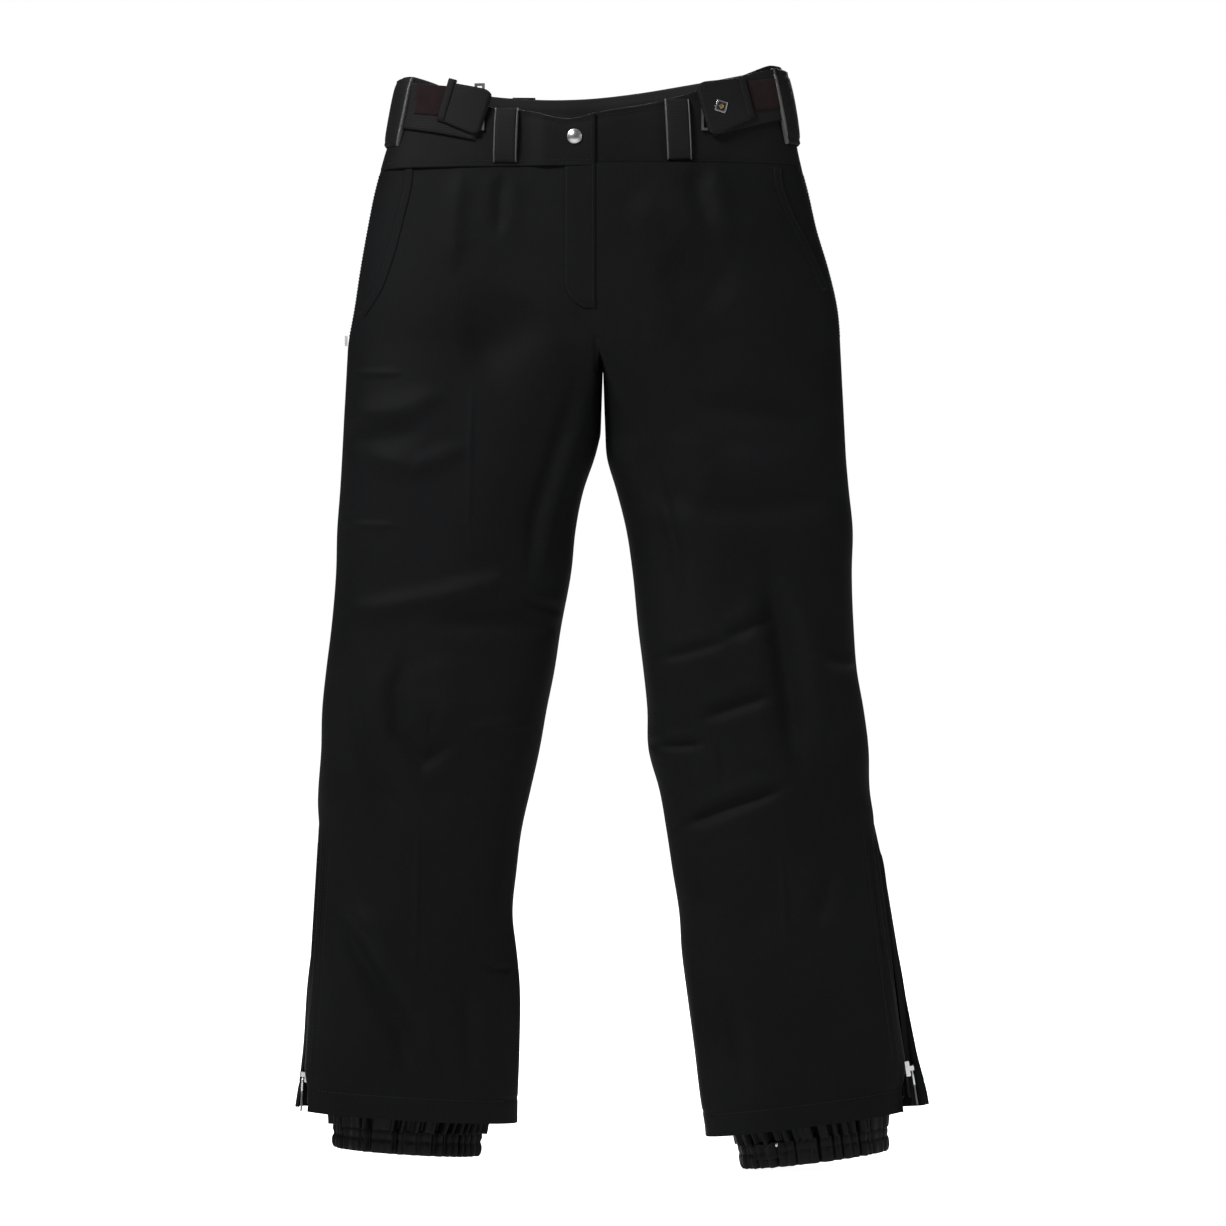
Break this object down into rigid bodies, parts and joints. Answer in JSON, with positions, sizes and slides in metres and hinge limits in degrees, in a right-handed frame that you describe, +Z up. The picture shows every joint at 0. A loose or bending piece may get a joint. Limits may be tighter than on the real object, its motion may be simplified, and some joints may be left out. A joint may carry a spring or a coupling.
{
  "type": "ski pants",
  "caption": "Waterproof ski pants as worn: snap waistband with side adjusters, zip fly, slash pockets, side-leg zips and inner snow gaiters; hips, knees, zips and tabs move.",
  "frame": {"origin": "middle of the waist, 15 mm above the front top edge of the waistband", "axes": "+Z up along the upright wearer, -Y out of the front, +X to the wearer's left"},
  "size_m": [0.6176, 0.124, 1.0947],
  "materials": {
    "shell_cloth": "matt woven softshell, black",
    "webbing": "woven webbing, black",
    "satin_piping": "satin piping, grey",
    "bright_metal": "polished nickel",
    "badge_metal": "brushed, pale gold in a silver frame",
    "loop_fastener": "looped pile, black",
    "lining": "plain taffeta, black",
    "gaiter_nylon": "glossy coated nylon, black",
    "label": "woven label, pale grey",
    "zip_tape": "zip tape, black",
    "zip_coil": "moulded nylon coil, black",
    "pull_ribbon": "grosgrain ribbon, grey",
    "zip_metal": "satin nickel"
  },
  "bodies": {
    "hips": {"waistband_front_right": "shell_cloth", "waistband_front_left": "shell_cloth", "waistband_back": "shell_cloth", "snap_stud": "bright_metal", "belt_loop_front_right": "webbing", "belt_loop_front_left": "webbing", "belt_loop_side_right": "webbing", "belt_loop_side_left": "webbing", "belt_loops_back": "webbing", "loop_piping": "satin_piping", "strap_base_right": "shell_cloth", "strap_patch_right": "loop_fastener", "strap_ring_right": "bright_metal", "strap_base_left": "shell_cloth", "strap_patch_left": "loop_fastener", "strap_ring_left": "bright_metal", "pocket_bag_right": "lining", "pocket_welt_right": "shell_cloth", "pocket_bag_left": "lining", "pocket_welt_left": "shell_cloth", "hip_front_right": "shell_cloth", "hip_front_left": "shell_cloth", "fly_placket": "shell_cloth", "hip_back_right": "shell_cloth", "hip_back_left": "shell_cloth", "crotch_gusset": "shell_cloth", "side_label": "label", "fly_zip_tapes": "zip_tape", "fly_zip_chain": "zip_coil", "fly_shield": "lining"},
    "waist_tab": {"waist_tab": "shell_cloth", "snap_cap": "bright_metal", "snap_socket": "bright_metal"},
    "fly_slider": {"fly_zip_slider": "zip_metal"},
    "fly_pull": {"fly_zip_pull": "zip_metal"},
    "strap_end_right": {"strap_end_right": "shell_cloth"},
    "thigh_right": {"thigh_front_right": "shell_cloth", "thigh_back_right": "shell_cloth"},
    "shin_right": {"shin_front_right": "shell_cloth", "shin_back_right": "shell_cloth", "leg_zip_chain_right": "zip_coil", "leg_gusset_right": "gaiter_nylon", "gaiter_tube_right": "gaiter_nylon"},
    "leg_slider_right": {"leg_zip_slider_right": "zip_metal"},
    "leg_pull_right": {"leg_zip_pull_right": "zip_metal", "leg_zip_ribbon_right": "pull_ribbon"},
    "cuff_right": {"gaiter_cuff_right": "gaiter_nylon"},
    "strap_end_left": {"strap_end_left": "shell_cloth", "badge_plate": "badge_metal"},
    "thigh_left": {"thigh_front_left": "shell_cloth", "thigh_back_left": "shell_cloth"},
    "shin_left": {"shin_front_left": "shell_cloth", "shin_back_left": "shell_cloth", "leg_zip_chain_left": "zip_coil", "leg_gusset_left": "gaiter_nylon", "gaiter_tube_left": "gaiter_nylon"},
    "leg_slider_left": {"leg_zip_slider_left": "zip_metal"},
    "leg_pull_left": {"leg_zip_pull_left": "zip_metal", "leg_zip_ribbon_left": "pull_ribbon"},
    "cuff_left": {"gaiter_cuff_left": "gaiter_nylon"}
  },
  "joints": [
    {"name": "waist_tab_turn", "type": "hinge", "parent": "hips", "child": "waist_tab", "pos_m": [-0.046, -0.04669, -0.042], "axis": [0, -0.041, -0.9992], "range_deg": [0, 100]},
    {"name": "fly_zip_slide", "type": "slide", "parent": "hips", "child": "fly_slider", "axis": [0, -0.069, -0.9976], "range_m": [0, 0.112]},
    {"name": "fly_pull_turn", "type": "hinge", "parent": "fly_slider", "child": "fly_pull", "pos_m": [-0.0105, -0.04132, -0.0865], "axis": [-1, 0, 0], "range_deg": [0, 12]},
    {"name": "strap_peel_right", "type": "hinge", "parent": "hips", "child": "strap_end_right", "pos_m": [-0.1173, -0.0431, -0.012], "axis": [0, 0.0462, 0.9989], "range_deg": [0, 110]},
    {"name": "hip_right", "type": "hinge", "parent": "hips", "child": "thigh_right", "pos_m": [-0.121, -0.062, -0.26], "axis": [-1, 0, 0], "range_deg": [0, 90]},
    {"name": "knee_right", "type": "hinge", "parent": "thigh_right", "child": "shin_right", "pos_m": [-0.156, 0.052, -0.59], "axis": [1, 0, 0], "range_deg": [0, 100]},
    {"name": "leg_zip_slide_right", "type": "slide", "parent": "shin_right", "child": "leg_slider_right", "axis": [0.0539, 0, 0.9985], "range_m": [0, 0.2284]},
    {"name": "leg_pull_turn_right", "type": "hinge", "parent": "leg_slider_right", "child": "leg_pull_right", "pos_m": [-0.29003, 0, -0.97413], "axis": [0, 1, 0], "range_deg": [0, 150]},
    {"name": "cuff_slide_right", "type": "slide", "parent": "shin_right", "child": "cuff_right", "axis": [0.0698, 0, 0.9976], "range_m": [0, 0.045], "deforming": ["gaiter_tube_right"]},
    {"name": "strap_peel_left", "type": "hinge", "parent": "hips", "child": "strap_end_left", "pos_m": [0.1173, -0.0431, -0.012], "axis": [0, -0.0462, -0.9989], "range_deg": [0, 110]},
    {"name": "hip_left", "type": "hinge", "parent": "hips", "child": "thigh_left", "pos_m": [0.127, -0.062, -0.26], "axis": [-1, 0, 0], "range_deg": [0, 90]},
    {"name": "knee_left", "type": "hinge", "parent": "thigh_left", "child": "shin_left", "pos_m": [0.16, 0.052, -0.59], "axis": [1, 0, 0], "range_deg": [0, 100]},
    {"name": "leg_zip_slide_left", "type": "slide", "parent": "shin_left", "child": "leg_slider_left", "axis": [-0.1528, 0, 0.9883], "range_m": [0, 0.2252]},
    {"name": "leg_pull_turn_left", "type": "hinge", "parent": "leg_slider_left", "child": "leg_pull_left", "pos_m": [0.31871, 0, -0.96778], "axis": [0, -1, 0], "range_deg": [0, 150]},
    {"name": "cuff_slide_left", "type": "slide", "parent": "shin_left", "child": "cuff_left", "axis": [-0.1253, 0, 0.9921], "range_m": [0, 0.045], "deforming": ["gaiter_tube_left"]}
  ]
}
